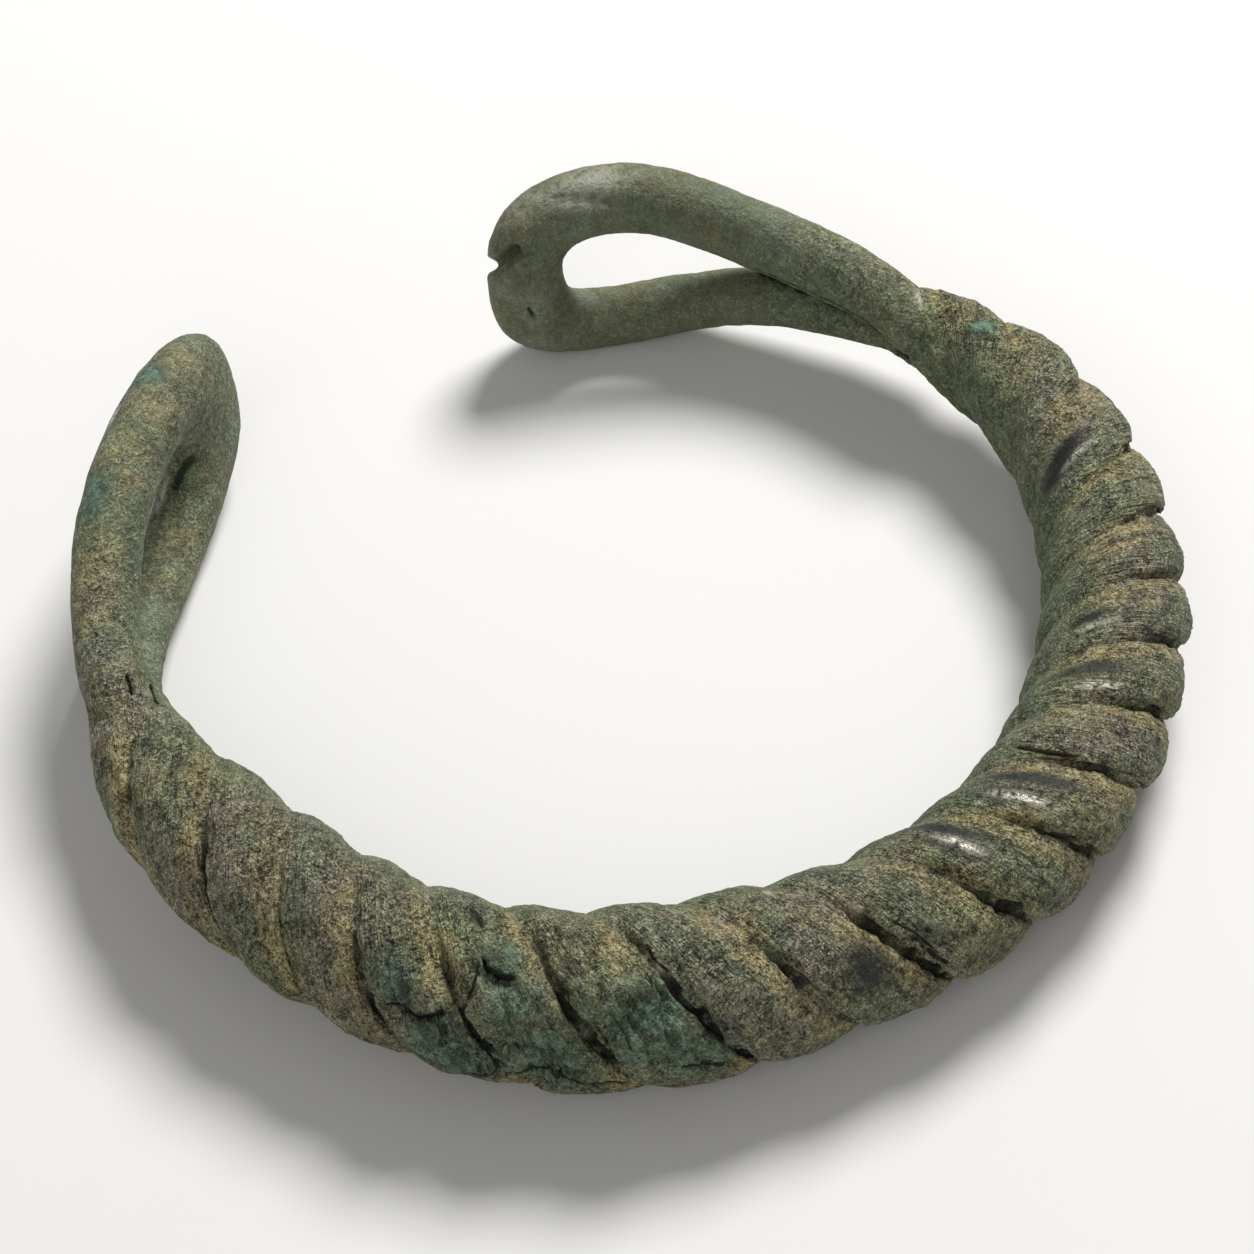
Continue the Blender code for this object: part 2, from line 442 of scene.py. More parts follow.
@dataclass
class TwistedBody:
    """The body: three strands twisted together, tapering to a point at each neck."""

    ring: Ring
    width: float = 0.0112
    height: float = 0.0114
    tongue_width: float = 0.0016
    tongue_height: float = 0.0022
    groove_depth: float = 0.00085
    grooved_girth: float = 0.65
    strands: int = 3
    station_step: float = 0.25
    columns: int = 114
    crowding: float = 0.35
    ridge_steepness: float = 0.72
    ridge_flatness: float = 0.62
    soft_flatness: float = 1.25
    crack_tilt: float = 0.35
    inside_calm: float = 0.25
    girth: tuple = (
        (-114, 0.00), (-107, 0.33), (-101, 0.47), (-95, 0.64), (-86, 0.80), (-65, 0.89),
        (-45, 0.97), (-30, 1.01), (-8, 0.91), (20, 0.88), (45, 0.86), (70, 0.74),
        (90, 0.59), (99, 0.45), (105, 0.31), (111, 0.00),
    )
    grooves: tuple = (
        (-112, -0.25), (-98, 0.30), (-84, 1.22), (-70, 2.47), (-56, 3.95), (-42, 5.30),
        (-14, 7.85), (14, 10.45), (42, 13.50), (70, 16.65), (84, 17.90), (98, 19.00),
        (112, 20.20),
    )

    def half_sizes(self, angles: np.ndarray) -> tuple[np.ndarray, np.ndarray, np.ndarray]:
        """The body's half width, its half height and its grooves' depth at each angle."""
        girth = smooth(self.girth, np.clip(angles, self.girth[0][0], self.girth[-1][0]))
        half_width = (self.tongue_width + (self.width - self.tongue_width) * girth) / 2
        half_height = (self.tongue_height + (self.height - self.tongue_height) * girth) / 2
        return half_width, half_height, self.groove_depth * ease(girth / self.grooved_girth)

    def phase(self, angles: np.ndarray, turns: np.ndarray) -> np.ndarray:
        """How many ridges round the section a place lies, by its angle round the ring and its turn."""
        return turns * self.strands / (2 * math.pi) + smooth(self.grooves, angles)

    def build(self, tree: SweepTree, material: bpy.types.Material) -> bpy.types.Object:
        """Makes the body.

        Args:
            tree: the sweep.
            material: the finish it carries.

        Returns:
            The body as a plain mesh.
        """
        first, last = self.girth[0][0], self.girth[-1][0]
        arc = self.ring.radius / MM * math.radians(last - first)
        angles = np.linspace(first, last, round(arc / self.station_step))
        half_width, half_height, groove = self.half_sizes(angles)
        across = self.ring.outward(angles) * half_width[:, None]
        through = UP * half_height[:, None]
        points = self.ring.centre(angles)
        across[[0, -1]] = 0.0
        through[[0, -1]] = 0.0
        guide = Guide(points, across, through, groove, smooth(self.grooves, angles))
        return tree.sweep("body", guide, {
            "Columns": self.columns,
            "Strands": self.strands,
            "Crowding": self.crowding,
            "Ridge Steepness": self.ridge_steepness,
            "Ridge Flatness": self.ridge_flatness,
            "Soft Flatness": self.soft_flatness,
            "Crack Tilt": self.crack_tilt,
            "Inside Calm": self.inside_calm,
            "Material": material,
        })


@dataclass
class HairpinLoop:
    """One end of the bangle, where the rod turns back on itself."""

    ring: Ring
    name: str
    side: int
    neck: float
    neck_turn: float
    late: float
    straight: float
    hole_end: float
    bend: float
    spread: float = 0.0099
    thickness: float = 0.0044
    upper_height: float = 0.0049
    lower_height: float = 0.0039
    neck_spread: float = 0.0039
    neck_run: float = 0.0140
    lean: float = 9.0
    squareness: float = 0.75
    root_length: float = 0.0055
    root_spread: float = 0.0018
    root_thickness: float = 0.0030
    path_step: float = 0.00034
    bend_steps: int = 80
    columns: int = 44

    def __post_init__(self) -> None:
        """Measures the line that the loop follows."""
        self.angles = np.linspace(self.neck - self.side * 15, self.side * 178, 400)
        points = self.ring.centre(self.angles)
        steps = np.linalg.norm(np.diff(points, axis=0), axis=1)
        along = np.concatenate(((0.0,), np.cumsum(steps)))
        self.distances = along - np.interp(abs(self.neck), np.abs(self.angles), along)

    def edges(self, place: np.ndarray, rod_height: np.ndarray) -> tuple[np.ndarray, ...]:
        """The rod's near and far edge above the band's middle, and its thickness, at each place."""
        root = ease((place + self.root_length) / self.root_length)
        opened = ease(place / self.straight) ** self.late
        neck = self.root_spread + (self.neck_spread - self.root_spread) * root
        middle = (neck + (self.spread - neck) * opened) / 2
        thick = self.root_thickness + (self.thickness - self.root_thickness) * root
        half = rod_height / 2 * thick / self.thickness
        return middle - half, middle + half, thick

    def build(self, tree: SweepTree, material: bpy.types.Material) -> bpy.types.Object:
        """Makes the loop.

        Args:
            tree: the sweep.
            material: the finish it carries.

        Returns:
            The loop as a plain mesh, closed at both roots.
        """
        count = round((self.straight + self.root_length) / self.path_step)
        places = np.linspace(-self.root_length, self.straight, count)
        near, far, thick = self.edges(places, np.full(count, self.upper_height))
        low_near, low_far, low_thick = self.edges(places[::-1], np.full(count, self.lower_height))
        turn = np.linspace(0, math.pi, self.bend_steps + 1)[1:-1]
        out = np.abs(np.sin(turn)) ** self.squareness
        up = np.copysign(np.abs(np.cos(turn)) ** self.squareness, np.cos(turn))
        share = ease(0.5 + 0.9 * np.cos(turn))
        heights = self.lower_height + (self.upper_height - self.lower_height) * share
        bend_near, bend_far, bend_thick = self.edges(np.full(len(turn), self.straight), heights)
        hole = np.concatenate((
            np.stack((places, near), 1),
            np.stack((self.straight + self.hole_end * out, bend_near * up), 1),
            np.stack((places[::-1], -low_near), 1),
        ))
        rim = np.concatenate((
            np.stack((places, far), 1),
            np.stack((self.straight + self.bend * out, bend_far * up), 1),
            np.stack((places[::-1], -low_far), 1),
        ))
        thick = np.concatenate((thick, bend_thick, low_thick))
        middle, half = (hole + rim) / 2, (rim - hole) / 2
        angles = np.interp(middle[:, 0], self.distances, self.angles)
        outward = self.ring.outward(angles)
        run = self.side * np.cross(UP, outward)
        left = np.maximum(0.0, 1 - middle[:, 0] / self.neck_run)
        lean = np.radians(self.lean + self.neck_turn * left**2)[:, None]
        rise = np.sin(lean) * outward + np.cos(lean) * UP
        points = self.ring.centre(angles) + middle[:, 1:] * rise
        across = half[:, :1] * run + half[:, 1:] * rise
        through = thick[:, None] / 2 * np.cross(run, rise)
        across[[0, -1]] = 0.0
        through[[0, -1]] = 0.0
        nothing = np.zeros(len(points))
        guide = Guide(points, across, through, nothing, nothing)
        return tree.sweep(self.name, guide, {
            "Columns": self.columns,
            "Strands": 1,
            "Crowding": 0.0,
            "Ridge Steepness": 1.0,
            "Ridge Flatness": 1.0,
            "Soft Flatness": 1.0,
            "Material": material,
        })


@dataclass
class PhotoCamera:
    """The camera at the photo's viewing angle, and the way from a photo pixel to the object."""

    target: tuple = (0.00178, 0.00052, 0.0)
    distance: float = 0.300
    elevation: float = 50.0
    azimuth: float = -35.0
    pixels_per_mm: float = 15.2
    frame: int = 1254
    sensor: float = 36.0

    def __post_init__(self) -> None:
        """Works out its directions."""
        e, a = math.radians(self.elevation), math.radians(self.azimuth)
        self.forward = np.array((-math.sin(a) * math.cos(e), math.cos(a) * math.cos(e), -math.sin(e)))
        self.right = np.array((math.cos(a), math.sin(a), 0.0))
        self.up = np.cross(self.right, self.forward)
        self.eye = np.array(self.target) - self.distance * self.forward
        self.focal = self.pixels_per_mm * self.distance / MM

    def ray(self, x: float, y: float) -> tuple[Vector, Vector]:
        """The eye, and the direction from it through a photo pixel."""
        middle = self.frame / 2
        aside = (x - middle) / self.focal * self.right + (middle - y) / self.focal * self.up
        return Vector(self.eye), Vector(self.forward + aside).normalized()

    def pixels(self, points: np.ndarray) -> np.ndarray:
        """Where points show in the photo, in mm at the object's distance, with y up."""
        away = points - self.eye
        depth = away @ self.forward / self.distance
        return np.stack((away @ self.right / depth, away @ self.up / depth), 1) / MM

    def place(self, shift: np.ndarray) -> bpy.types.Object:
        """Adds the camera to the scene.

        Args:
            shift: the way from the ring's middle to the CAD's origin.

        Returns:
            The camera.
        """
        data = bpy.data.cameras.new("camera")
        data.sensor_width = self.sensor
        data.lens = self.sensor * self.focal / self.frame
        data.clip_start = 0.01
        camera = bpy.data.objects.new("camera", data)
        turn = Matrix((self.right, self.up, -self.forward)).transposed()
        camera.matrix_world = Matrix.Translation(Vector(self.eye + shift)) @ turn.to_4x4()
        bpy.context.scene.collection.objects.link(camera)
        bpy.context.scene.camera = camera
        return camera


def noise_at(points: np.ndarray, size: float, seed: float = 0.0, octaves: int = 2) -> np.ndarray:
    """Smooth noise, about -1 to 1, at each point.

    Args:
        points: the places, in metres.
        size: how wide its lumps are, in metres.
        seed: moves the pattern.
        octaves: how many finer layers it has.

    Returns:
        One value for each point.
    """
    shift = Vector((seed, seed * 0.37, -seed * 0.61))
    scaled = points / size
    return np.array([noise.fractal(Vector(p) + shift, 1.0, 2.0, octaves) for p in scaled])


def plates_at(points: np.ndarray, size: float, seed: float = 0.0) -> tuple[np.ndarray, np.ndarray]:
    """Broken plates: flat facets, each at its own height and tilt.

    Args:
        points: the places, in metres.
        size: how wide the plates are, in metres.
        seed: moves the pattern.

    Returns:
        The height at each point, about -1 to 1, and how near it lies to a plate's edge, 0 to 1.
    """
    shift = Vector((seed, -seed * 0.41, seed * 0.73))
    height, edge = np.empty(len(points)), np.empty(len(points))
    for i, point in enumerate(points / size):
        place = Vector(point) + shift
        place += 0.35 * noise.noise_vector(place * 1.7)
        gaps, seeds = noise.voronoi(place)
        own = 2 * noise.cell_vector(seeds[0] * 7.3) - Vector((1, 1, 1))
        height[i] = 0.5 * own.x + 0.9 * own.dot(place - seeds[0])
        edge[i] = gaps[1] - gaps[0]
    return np.clip(height, -1, 1), 1 - ease(edge / 0.12)


def distance_to_path(points: np.ndarray, path: np.ndarray) -> tuple[np.ndarray, ...]:
    """How far each point is from a path of straight stretches, and how far along it, 0 to 1.

    Args:
        points: the places.
        path: the path's corners.

    Returns:
        The distances, the shares of the path, and the nearest places on it.
    """
    best = np.full(len(points), 1e9)
    share = np.zeros(len(points))
    nearest = np.zeros_like(points)
    count = len(path) - 1
    for i, (start, end) in enumerate(zip(path, path[1:])):
        way = end - start
        t = np.clip((points - start) @ way / max(way @ way, 1e-18), 0, 1)
        place = start + t[:, None] * way
        off = np.linalg.norm(points - place, axis=1)
        nearer = off < best
        best = np.where(nearer, off, best)
        share = np.where(nearer, (i + t) / count, share)
        nearest = np.where(nearer[:, None], place, nearest)
    return best, share, nearest


class Mark(NamedTuple):
    """A flaw that the photo shows along a path of photo pixels.

    depth and width are in mm. step is how much further out the side that is higher in the photo
    stands than the other side, in mm, and soot is how dark the mark is, 0 to 1. A path that starts
    depth and width are in mm. step is how much further out the side that is higher in the photo
    stands than the other side, in mm, and the last number is the painted shade in the mark's
    hollow: how dark the crack, crease or hole is painted, 0 to 1. A path that starts off the
    object cuts through its outline there.
    """

    path: tuple
    depth: float
    width: float
    step: float = 0.0
    crack_shade: float = 1.0


class Patch(NamedTuple):
    """A patch of one finish round a photo pixel.

    length runs with the strand and width across it, both half sizes in mm.
    """

    x: float
    y: float
    length: float
    width: float
    strength: float = 1.0


# The last number of each mark is how dark its hollow is painted: painted shade in the crack, crease or
# hole.
MARKS = (
    Mark(((398, 1003), (403, 1010), (420, 1016), (446, 1013)), 0.30, 0.28, 0.75),
    Mark(((375, 990), (382, 1002), (398, 1008)), 0.20, 0.15, 0.20),
    Mark(((462, 1005), (468, 1022), (480, 1036), (505, 1043), (532, 1048)), 0.24, 0.17, 0.50),
    Mark(((484, 958), (485, 966), (500, 976), (516, 979)), 0.25, 0.15, 0.50),
    # Painted shade at the top of the left loop's hole.
    Mark(((173, 492), (181, 473), (188, 462), (199, 457)), 0.10, 0.38, 0.0, 0.60),
    Mark(((478, 962), (474, 980), (466, 1002)), 0.20, 0.12, 0.0, 0.7),
    Mark(
        ((448, 1075), (470, 1076), (490, 1077), (498, 1070), (484, 1050), (470, 1036)),
        0.18, 0.13, 0.10,
    ),
    Mark(
        ((512, 1076), (540, 1074), (565, 1079), (585, 1086), (610, 1082), (632, 1083)),
        0.18, 0.14, 0.15,
    ),
    Mark(((680, 1067), (700, 1066), (724, 1065), (730, 1058)), 0.18, 0.13, 0.10),
    Mark(((648, 948), (655, 962), (668, 972)), 0.20, 0.12, 0.10, 0.8),
    Mark(((470, 905), (478, 916), (484, 928)), 0.20, 0.20, 0.0, 0.6),
    Mark(((127, 674), (131, 684), (134, 694)), 0.40, 0.13),
    Mark(((151, 683), (155, 693), (158, 703)), 0.40, 0.11),
    # A soft crease on the right loop, drawn as a painted shadow.
    Mark(((545, 200), (575, 199), (610, 202), (640, 206)), 0.14, 0.40, 0.0, 0.28),
    Mark(((528, 308), (531, 313), (535, 318)), 0.30, 0.16, 0.0, 0.6),
    Mark(((480, 268), (498, 261), (508, 256), (522, 250)), 0.80, 0.55, 0.0, 0.50),
    Mark(
        ((752, 270), (770, 276), (800, 290), (830, 303), (860, 319), (884, 338)),
        0.22, 0.14, 0.12, 0.80,
    ),
    Mark(((893, 352), (900, 356), (908, 362)), 0.40, 0.26, 0.0, 0.7),
    Mark(((112, 430), (122, 400), (138, 372), (152, 352)), 0.12, 0.25, 0.0, 0.25),
    Mark(((928, 950), (938, 958), (950, 966)), 0.30, 0.20, 0.12, 0.9),
    Mark(((1014, 747), (1050, 753), (1080, 757)), 0.15, 0.12, 0.15, 0.6),
    Mark(((1035, 758), (1090, 764), (1140, 776)), 0.10, 0.10, 0.05, 0.5),
    Mark(((890, 920), (915, 932), (940, 955)), 0.15, 0.10, 0.05, 0.6),
)

GAPS = (
    Patch(548, 955, 2.6, 1.6, 0.5),
    Patch(581, 1004, 2.6, 1.6, 0.8),
    Patch(618, 1050, 2.6, 1.6, 1.0),
    Patch(650, 935, 2.4, 1.6, 0.5),
    Patch(693, 983, 2.4, 1.6, 0.8),
    Patch(735, 1025, 3.0, 1.6, 1.0),
    Patch(384, 1020, 3.2, 1.6, 0.8),
    Patch(475, 1000, 2.2, 1.4, 0.4),
    Patch(880, 925, 2.4, 1.5, 0.6),
    Patch(930, 955, 2.4, 1.5, 0.8),
    Patch(1000, 895, 2.2, 1.5, 0.5),
    Patch(1035, 918, 2.0, 1.4, 0.7),
    Patch(1100, 768, 2.4, 1.4, 0.5),
    Patch(205, 860, 2.0, 1.4, 0.3),
)

BLISTERS = (
    Patch(500, 958, 1.3, 1.0, 0.28),
    Patch(492, 1010, 1.6, 1.1, 0.30),
    Patch(420, 992, 1.5, 1.3, 0.24),
    Patch(455, 950, 1.2, 0.9, 0.16),
    Patch(560, 940, 1.6, 1.0, 0.16),
    Patch(600, 1000, 2.4, 1.4, 0.16),
    Patch(668, 1010, 2.6, 1.5, 0.22),
    Patch(720, 1035, 1.5, 0.9, 0.20),
    Patch(935, 955, 0.8, 0.6, 0.22),
    Patch(745, 890, 2.2, 1.2, 0.14),
)

VERDIGRIS = (
    Patch(500, 962, 1.8, 1.8, 0.85),
    Patch(515, 1005, 2.6, 2.2, 0.8),
    Patch(440, 1050, 3.6, 2.6, 0.95),
    Patch(395, 985, 2.4, 1.4, 0.8),
    Patch(550, 1065, 4.2, 3.2, 0.85),
    Patch(490, 1065, 2.4, 2.4, 0.8),
    Patch(655, 1025, 3.6, 3.4, 0.95),
    Patch(705, 1050, 3.2, 2.4, 0.8),
    Patch(590, 1000, 2.6, 1.6, 0.45),
    Patch(983, 327, 1.0, 1.0, 1.8),
    Patch(1018, 333, 0.4, 0.4, 1.5),
    Patch(148, 374, 1.3, 1.0, 1.3),
    Patch(92, 495, 2.4, 0.9, 1.2),
    Patch(930, 930, 1.6, 1.0, 0.5),
    Patch(300, 900, 2.2, 1.3, 0.35),
    Patch(355, 850, 2.4, 1.2, 0.35),
)

# Worn crests: rubbed, smoother metal, coloured near black as a painted dark reflection beside each
# highlight.
WORN_AND_DARK_REFLECTION = (
    Patch(1062, 456, 3.0, 1.10, 1.0),
    Patch(1088, 619, 2.1, 0.50, 1.0),
    Patch(1090, 668, 3.2, 0.75, 0.9),
    Patch(1028, 778, 4.0, 0.70, 1.0),
    Patch(1005, 795, 2.6, 0.80, 0.8),
    Patch(938, 827, 4.4, 0.60, 1.0),
    Patch(955, 842, 2.8, 0.80, 0.8),
    Patch(870, 966, 2.4, 1.7, 0.9),
    Patch(476, 916, 0.9, 0.5, 0.8),
    Patch(109, 424, 3.0, 0.32, 0.8),
    Patch(122, 392, 2.4, 0.30, 0.8),
    Patch(1056, 474, 2.4, 0.90, 1.0),
    Patch(1000, 945, 2.0, 0.8, 0.35),
)

# Painted highlights on the worn crests, on the left loop's rim and in its hole, pale patches on the
# right loop's top, and small pale flakes of the crust.
HIGHLIGHTS_AND_FLAKES = (
    Patch(1079, 453, 1.8, 0.24, 1.0),
    Patch(1100, 623, 1.5, 0.28, 0.8),
    Patch(1098, 682, 2.0, 0.36, 0.9),
    Patch(1022, 798, 2.6, 0.42, 1.0),
    Patch(960, 842, 2.4, 0.40, 1.0),
    Patch(163, 494, 1.4, 0.30, 0.9),
    Patch(113, 416, 1.8, 0.15, 1.0),
    Patch(590, 178, 3.5, 1.00, 0.35),
    Patch(520, 208, 2.5, 0.80, 0.30),
    Patch(660, 966, 0.5, 0.35, 0.9),
    Patch(858, 909, 0.5, 0.35, 0.9),
    Patch(769, 895, 0.4, 0.3, 0.9),
    Patch(388, 897, 0.3, 0.2, 1.0),
    Patch(917, 297, 1.0, 0.35, 0.7),
)

EARTH = (
    Patch(1056, 413, 1.8, 0.45, 0.9),
    Patch(1112, 475, 1.8, 0.45, 0.9),
    Patch(1120, 545, 2.4, 0.40, 0.9),
    Patch(1110, 594, 2.6, 0.40, 0.9),
    Patch(1120, 655, 2.6, 0.40, 0.8),
    Patch(1062, 767, 1.6, 0.45, 0.9),
    Patch(1022, 822, 1.9, 0.55, 1.0),
    Patch(968, 877, 1.6, 0.50, 0.8),
    Patch(745, 925, 1.6, 0.9, 0.8),
    Patch(590, 985, 0.9, 0.7, 0.8),
    Patch(445, 950, 2.6, 1.0, 0.7),
    Patch(610, 950, 1.6, 1.0, 0.5),
    Patch(86, 580, 4.5, 1.3, 0.45),
    Patch(110, 470, 4.5, 1.3, 0.45),
    Patch(150, 400, 3.0, 1.4, 0.35),
    Patch(195, 360, 2.6, 1.8, 0.25),
    Patch(172, 545, 3.5, 1.2, 0.35),
)


@dataclass
class Weathering:
    """Turns the joined shape into the corroded one, and notes on each point what its finish reads."""

    body: TwistedBody
    ring: Ring
    camera: PhotoCamera
    lump: float = 0.00024
    lump_size: float = 0.0030
    pock: float = 0.00016
    pock_size: float = 0.0012
    grit: float = 0.000065
    grit_size: float = 0.0005
    ragged_size: float = 0.0007
    plate: float = 0.00050
    plate_size: float = 0.0024
    crack_width: float = 0.00018
    crack_depth: float = 0.00055
    crack_wander: float = 0.00032
    wear_depth: float = 0.0002
    ridge_span: float = 0.0047
    left_grain: float = 0.60
    right_grain: float = 0.30
    pixel_step: float = 5.0
    mark_reach: float = 3.0
    step_width: float = 0.8
    turned_away: float = -0.6
    refined: tuple = (0.00075, 0.00035)

    def _cast(self, tree: BVHTree, path: tuple) -> np.ndarray:
        """The places on the surface that the photo shows along a path of pixels."""
        pixels = [path[0]]
        for (x0, y0), (x1, y1) in zip(path, path[1:]):
            count = max(1, round(math.hypot(x1 - x0, y1 - y0) / self.pixel_step))
            for i in range(1, count + 1):
                pixels.append((x0 + (x1 - x0) * i / count, y0 + (y1 - y0) * i / count))
        hits = []
        for x, y in pixels:
            place = tree.ray_cast(*self.camera.ray(x, y))[0]
            if place is not None:
                hits.append(place)
        return np.array(hits)

    def _patches(
        self, tree: BVHTree, points: np.ndarray, phase: np.ndarray, patches: tuple[Patch, ...]
    ) -> np.ndarray:
        """How strongly each point lies in any of the patches, 0 to 1.

        Args:
            tree: the surface.
            points: the points.
            phase: how many ridges round each lies, which stays the same along a strand.
            patches: the patches.

        Returns:
            The strongest patch's share at each point.
        """
        total = np.zeros(len(points))
        for patch in patches:
            hits = self._cast(tree, ((patch.x, patch.y),))
            if not len(hits):
                log.info("a patch at %s, %s meets nothing", patch.x, patch.y)
                continue
            gap = np.linalg.norm(points - hits[0], axis=1)
            across = (phase - phase[gap.argmin()]) * self.ridge_span
            across = np.minimum(np.abs(across), gap)
            along = np.sqrt(gap**2 - across**2)
            far = np.hypot(along / (patch.length * MM), across / (patch.width * MM))
            total = np.maximum(total, patch.strength * (1 - ease(far - 0.3)))
        return total

    def _trace(self, tree: BVHTree) -> list[tuple[Mark, np.ndarray]]:
        """Each mark with its path on the surface."""
        traced = []
        for mark in MARKS:
            path = self._cast(tree, mark.path)
            if len(path) < 2:
                log.info("a mark at %s meets nothing", mark.path[0])
            else:
                traced.append((mark, path))
        return traced

    def _refine(self, data: bpy.types.Mesh, marks: list[tuple[Mark, np.ndarray]]) -> None:
        """Splits the faces beside the marks, so that their walls come out sharp.

        Args:
            data: the mesh.
            marks: the marks with their paths.
        """
        for reach in self.refined:
            shape = bmesh.new()
            shape.from_mesh(data)
            points = np.array([point.co for point in shape.verts])
            near = np.zeros(len(points), bool)
            for _, path in marks:
                near |= distance_to_path(points, path)[0] < reach
            edges = [edge for edge in shape.edges if all(near[end.index] for end in edge.verts)]
            bmesh.ops.subdivide_edges(shape, edges=edges, cuts=1, use_grid_fill=True)
            shape.to_mesh(data)
            shape.free()

    def _cracks(
        self,
        points: np.ndarray,
        phase: np.ndarray,
        turns: np.ndarray,
        ragged: np.ndarray,
        gaps: np.ndarray,
    ) -> np.ndarray:
        """How far each point lies in the cracks between the strands.

        Args:
            points: the points.
            phase: how many ridges round each lies.
            turns: its angle round the section.
            ragged: noise that makes the cracks' width uneven.
            gaps: where the cracks are open, 0 to 1.

        Returns:
            A share for each point, 0 to about 1.
        """
        facing = np.clip(0.35 + 0.65 * np.cos(turns + self.body.crack_tilt), 0, 1)
        aside = ((phase + 0.5) % 1 - 0.5) * self.ridge_span
        aside = aside + self.crack_wander * noise_at(points, 0.0014, 53.0, 3)
        width = self.crack_width * np.maximum(1 + 1.1 * ragged, 0.25) * (1 + 0.9 * gaps)
        shown = np.clip(0.65 + 1.1 * noise_at(points, 0.0040, 61.0, 1), 0.12, 1.1)
        return np.exp(-((aside / width) ** 4)) * np.maximum(facing * shown, gaps)

    def _carve(
        self, tree: BVHTree, marks: list, points: np.ndarray, normals: np.ndarray, ragged: np.ndarray
    ) -> tuple[np.ndarray, np.ndarray]:
        """What the marks do, measured in the photo's plane.

        Args:
            tree: the surface.
            marks: the marks with their paths.
            points: the points.
            normals: the way out at each point.
            ragged: noise that makes the marks' edges uneven.

        Returns:
            How far each point moves out, and the painted shade in the marks' hollows, 0 to 1.
        """
        move, dark = np.zeros(len(points)), np.zeros(len(points))
        shown = self.camera.pixels(points)
        faced = np.einsum("ij,ij->i", unit(self.camera.eye - points), normals)
        for mark, path in marks:
            far, share, nearest = distance_to_path(shown, self.camera.pixels(path))
            close = distance_to_path(points, path)[0] < self.mark_reach * MM
            seen = faced > 0
            if tree.ray_cast(*self.camera.ray(*mark.path[0]))[0] is None:
                share = np.maximum(share, 0.5)
                seen = faced > self.turned_away
            fade = ease(np.minimum(share, 1 - share) * 6 + 0.35) * (seen & close)
            reach = mark.width * np.maximum(1 + 0.6 * ragged, 0.4)
            hollow = fade * np.exp(-((np.maximum(far + 0.08 * ragged, 0) / reach) ** 4))
            above = np.clip((shown - nearest)[:, 1] / 0.1, -0.5, 0.5)
            lip = fade * above * np.exp(-((far / self.step_width) ** 2))
            move += MM * (mark.step * lip - mark.depth * hollow)
            # The marks' hollows are darkened: painted shade.
            dark = np.maximum(dark, hollow * mark.crack_shade)
        return move, dark

    def apply(self, obj: bpy.types.Object) -> None:
        """Weathers a mesh in place.

        Args:
            obj: the joined bangle, round the middle of the ring.
        """
        data = obj.data
        tree = BVHTree.FromObject(obj, bpy.context.evaluated_depsgraph_get())
        marks = self._trace(tree)
        self._refine(data, marks)
        points = points_of(data)
        flat = np.empty(points.size)
        data.vertex_normals.foreach_get("vector", flat)
        normals = flat.reshape(-1, 3)

        angles = self.ring.angle_of(points)
        away = points - self.ring.centre(angles)
        out = np.einsum("ij,ij->i", away, self.ring.outward(angles))
        half_width, half_height, groove = self.body.half_sizes(angles)
        turns = np.arctan2(away[:, 2] / half_height, out / half_width)
        reach = np.hypot(out / half_width, away[:, 2] / half_height)
        beyond = (reach - 1) * np.sqrt(half_width * half_height)
        first, last = self.body.girth[0][0], self.body.girth[-1][0]
        inside_ends = ease((angles - first) / 2) * ease((last - angles) / 2)
        twisted = (1 - ease((beyond - 0.0001) / 0.0005)) * inside_ends
        grooves = self.body.grooves
        phase = self.body.phase(np.clip(angles, grooves[0][0], grooves[-1][0]), turns)
        inner = ease((-out / half_width - 0.1) / 0.8)
        grooved = twisted * groove / self.body.groove_depth

        verdigris, worn, blister, sheen, earth, gaps = (
            self._patches(tree, points, phase, patches)
            for patches in (VERDIGRIS, WORN_AND_DARK_REFLECTION, BLISTERS, HIGHLIGHTS_AND_FLAKES, EARTH, GAPS)
        )
        green = np.minimum(verdigris, 1)
        rough = 1 - 0.9 * np.maximum(worn, sheen)
        bark = np.maximum(twisted, 0.75 * ease((128 - np.abs(angles)) / 20))
        crust = twisted * (0.35 + 0.9 * green) * rough * (1 - 0.6 * inner)
        calm = 0.25 + crust
        broken = np.maximum(crust - 0.25, 0)

        pits = noise_at(points, self.pock_size, 11.0)
        grit = noise_at(points, self.grit_size, 23.0, 2)
        ragged = noise_at(points, self.ragged_size, 41.0, 2)
        steps, edges = plates_at(points, self.plate_size, 5.0)
        move = self.lump * noise_at(points, self.lump_size, 3.0) * calm
        move += self.pock * pits * calm
        move += self.grit * grit * (0.5 + 0.5 * twisted) * rough
        move += blister * MM * (1 + 0.5 * noise_at(points, 0.0016, 31.0, 1))
        move += self.plate * broken * (steps - 0.8 * edges)
        crack = self._cracks(points, phase, turns, ragged, gaps) * grooved
        move -= self.crack_depth * (1 + 0.7 * gaps) * crack
        carved, dark = self._carve(tree, marks, points, normals, ragged)
        # Darkens the cracks, the marks and the plates' edges: painted shade in the hollows.
        hollow_shade = np.maximum.reduce((crack, dark, 0.55 * edges * broken))

